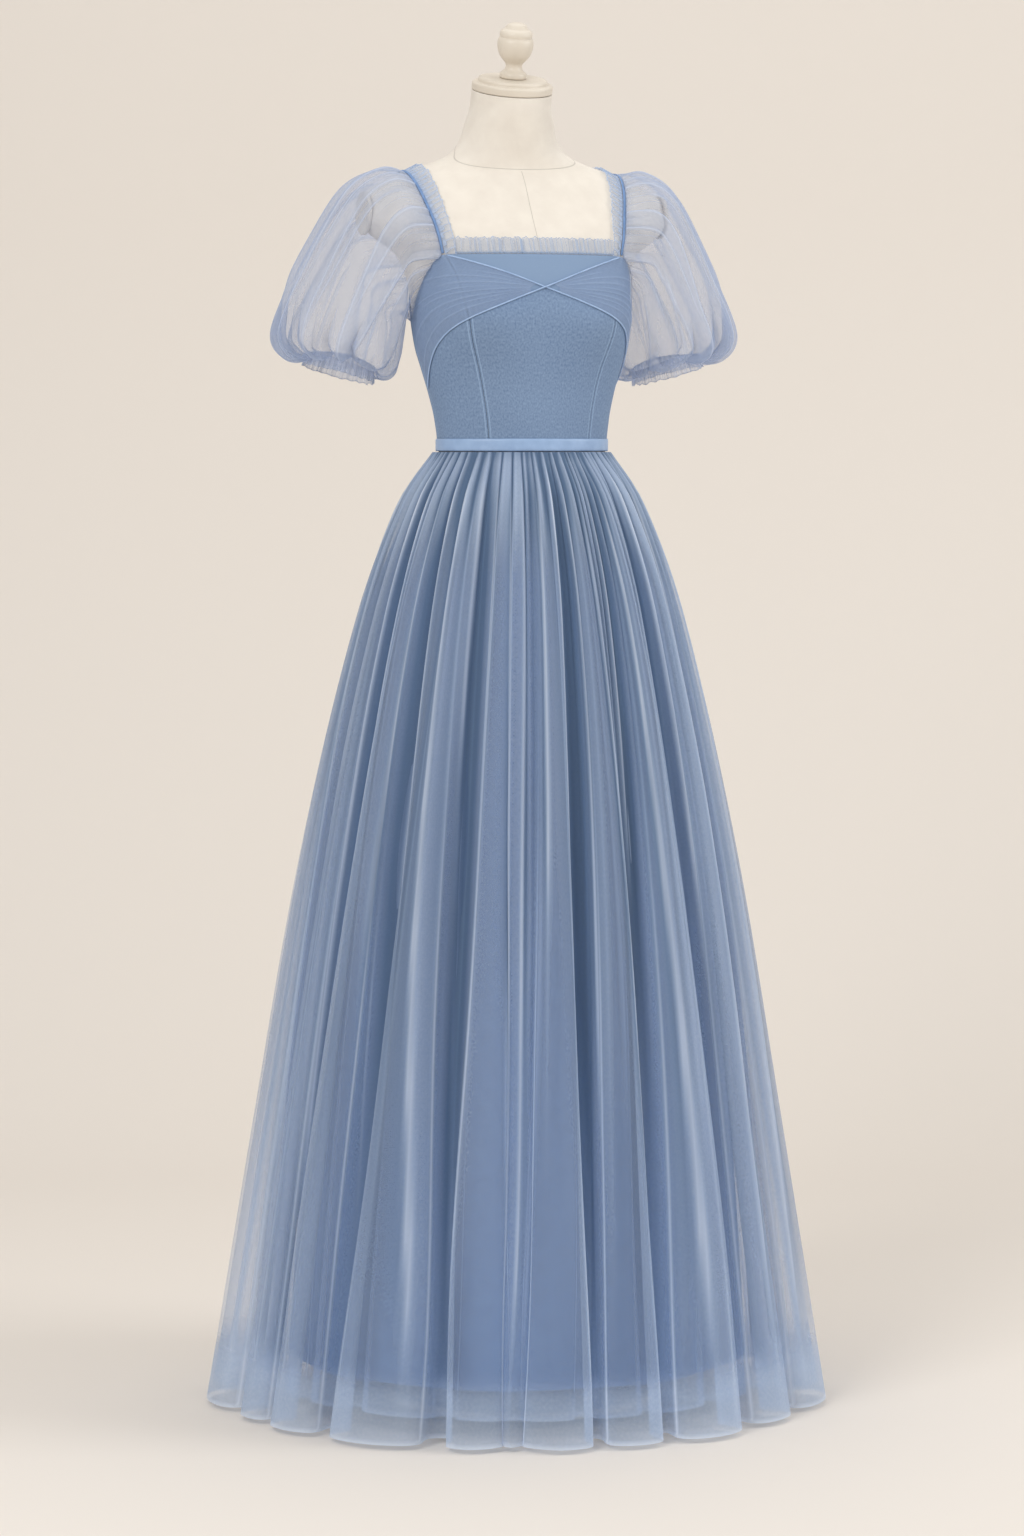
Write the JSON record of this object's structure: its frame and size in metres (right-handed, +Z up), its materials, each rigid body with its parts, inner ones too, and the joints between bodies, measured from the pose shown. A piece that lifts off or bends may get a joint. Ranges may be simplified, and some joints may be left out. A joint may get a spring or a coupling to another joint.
{
  "type": "bridesmaid dress on dress form",
  "caption": "Floor-length bridesmaid gown with sheer puff sleeves, square ruffled neckline, cross-over bust and gathered tulle skirt, worn by a limbless dress form on a round base",
  "frame": {"origin": "centre of the stand base's underside, on the floor", "axes": "+Z up from the hem to the finial; the gown's front faces -Y; the wearer's left is +X"},
  "size_m": [0.7337, 0.7263, 1.6543],
  "materials": {
    "bodice_mesh": "fine crepe-like mesh over lining, faint glitter",
    "drape_tulle": "matt tulle, gathered",
    "skirt_tulle": "fine sheer tulle",
    "sleeve_tulle": "fine sheer tulle, finely gathered",
    "skirt_lining": "soft matt satin",
    "satin_ribbon": "smooth satin",
    "piping": "double corded piping, matt",
    "form_linen": "cream linen, matt",
    "cream_paint": "cream satin paint",
    "stand_metal": "cream powder coat",
    "zip_metal": "coated to match the cloth"
  },
  "bodies": {
    "gown_on_form": {"arm_plate_left": "cream_paint", "arm_plate_right": "cream_paint", "bodice_back_left": "bodice_mesh", "bodice_back_right": "bodice_mesh", "bodice_back_side_left": "bodice_mesh", "bodice_back_side_right": "bodice_mesh", "bodice_front_centre": "bodice_mesh", "bodice_front_side_left": "bodice_mesh", "bodice_front_side_right": "bodice_mesh", "cuff_frill_left": "sleeve_tulle", "cuff_frill_right": "sleeve_tulle", "drape_binding_left": "piping", "drape_binding_right": "piping", "drape_left": "drape_tulle", "drape_right": "drape_tulle", "finial": "cream_paint", "form_torso": "form_linen", "neck_cap": "cream_paint", "neckline_ruffle": "sleeve_tulle", "pole": "stand_metal", "skirt_lining_back": "skirt_lining", "skirt_lining_front": "skirt_lining", "skirt_middle_back": "skirt_tulle", "skirt_middle_front": "skirt_tulle", "skirt_outer_back": "skirt_tulle", "skirt_outer_front": "skirt_tulle", "sleeve_left": "sleeve_tulle", "sleeve_right": "sleeve_tulle", "stand_base": "stand_metal", "strap_left": "piping", "strap_right": "piping", "strap_ruffle_left": "sleeve_tulle", "strap_ruffle_right": "sleeve_tulle", "waist_ribbon": "satin_ribbon", "zip_coil": "zip_metal", "zip_slider": "zip_metal"},
    "zip_pull": {"zip_pull": "zip_metal"}
  },
  "joints": [
    {"name": "zip_pull_hinge", "type": "hinge", "parent": "gown_on_form", "child": "zip_pull", "pos_m": [0, 0.11829, 1.38322], "axis": [1, 0, 0], "range_deg": [0, 150]}
  ]
}
